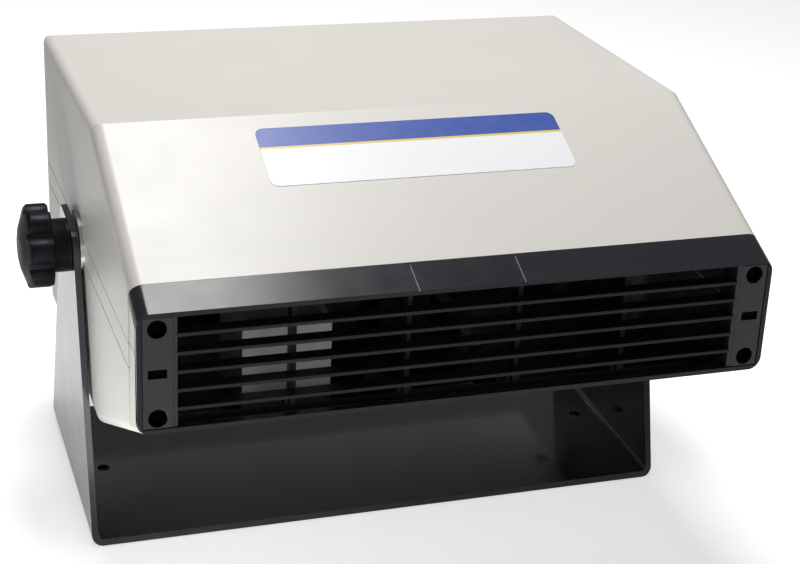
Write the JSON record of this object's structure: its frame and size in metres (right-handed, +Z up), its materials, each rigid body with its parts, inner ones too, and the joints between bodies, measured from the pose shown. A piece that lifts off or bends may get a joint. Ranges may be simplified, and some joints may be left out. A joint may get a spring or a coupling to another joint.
{
  "type": "ionizing air blower",
  "caption": "Benchtop ionizing blower: a wedge-nosed housing with a louvred front outlet, tilting in a U bracket on clamping knobs.",
  "frame": {"origin": "midway between the two mounting holes, on the underside of the bracket's base", "axes": "+X along the width, to the right as seen from the outlet side; +Y from the outlet to the intake; +Z up"},
  "size_m": [0.3596, 0.2854, 0.2199],
  "materials": {
    "housing_plastic": "fine satin, warm light grey",
    "black_plastic": "satin charcoal",
    "sheet_steel": "gloss black enamel",
    "bright_steel": "plated",
    "chrome": "polished",
    "winding": "enamelled copper wire",
    "brass": "turned",
    "module_case": "satin light grey",
    "board": "solder resist",
    "components": "mixed electronic parts",
    "panel": "satin dark grey",
    "rocker_red": "translucent red",
    "lamp_green": "translucent green"
  },
  "bodies": {
    "bracket": {"bracket": "sheet_steel"},
    "housing": {"lower_shell": "housing_plastic", "upper_shell": "housing_plastic", "front_frame": "black_plastic", "louvre_insert": "black_plastic", "insert_screws": "bright_steel", "shell_screws": "bright_steel", "rear_panel": "panel", "pivot_plate_left": "bright_steel", "pivot_plate_right": "bright_steel", "spacer_left": "chrome", "spacer_right": "chrome", "friction_washer_left": "chrome", "friction_washer_right": "chrome", "fan_frame_left": "black_plastic", "fan_frame_right": "black_plastic", "fan_stator_left": "winding", "fan_stator_right": "winding", "fan_bearings_left": "bright_steel", "fan_bearings_right": "bright_steel", "fan_guard_left": "bright_steel", "fan_guard_right": "bright_steel", "fan_screws": "bright_steel", "emitter_rail": "black_plastic", "emitter_needles": "bright_steel", "high_voltage_module": "module_case", "module_screws": "bright_steel", "control_board": "board", "board_components": "components", "board_standoffs": "brass", "board_screws": "bright_steel", "power_inlet": "black_plastic", "inlet_pins": "bright_steel", "switch_frame": "black_plastic", "speed_control": "bright_steel", "status_lamp": "lamp_green"},
    "clamp_left": {"knob_left": "black_plastic", "knob_stud_left": "bright_steel", "knob_washer_left": "black_plastic"},
    "clamp_right": {"knob_right": "black_plastic", "knob_stud_right": "bright_steel", "knob_washer_right": "black_plastic"},
    "impeller_left": {"fan_impeller_left": "black_plastic", "fan_shaft_left": "bright_steel"},
    "impeller_right": {"fan_impeller_right": "black_plastic", "fan_shaft_right": "bright_steel"},
    "rocker": {"power_rocker": "rocker_red"},
    "speed_dial": {"speed_knob": "black_plastic", "speed_shaft": "bright_steel"}
  },
  "joints": [
    {"name": "housing_tilt", "type": "hinge", "parent": "bracket", "child": "housing", "pos_m": [0, -0.009, 0.1405], "axis": [-1, 0, 0], "range_deg": [-47.7, 87.3]},
    {"name": "clamp_left_turn", "type": "hinge", "parent": "housing", "child": "clamp_left", "pos_m": [-0.16, -0.009, 0.1405], "axis": [-1, 0, 0], "range_deg": [0, 180]},
    {"name": "clamp_right_turn", "type": "hinge", "parent": "housing", "child": "clamp_right", "pos_m": [0.16, -0.009, 0.1405], "axis": [1, 0, 0], "range_deg": [0, 180]},
    {"name": "fan_left_spin", "type": "hinge", "parent": "housing", "child": "impeller_left", "pos_m": [-0.086, 0.0809, 0.13626], "axis": [0, 0.9989, -0.0471], "continuous": true},
    {"name": "fan_right_spin", "type": "hinge", "parent": "housing", "child": "impeller_right", "pos_m": [0.086, 0.0809, 0.13626], "axis": [0, 0.9989, -0.0471], "continuous": true},
    {"name": "power_rocker_tilt", "type": "hinge", "parent": "housing", "child": "rocker", "pos_m": [0, 0.10041, 0.12533], "axis": [-1, 0, 0], "range_deg": [0, 18]},
    {"name": "speed_dial_turn", "type": "hinge", "parent": "housing", "child": "speed_dial", "pos_m": [0, 0.1061, 0.1611], "axis": [0, 0.9989, -0.0471], "range_deg": [0, 270]}
  ]
}
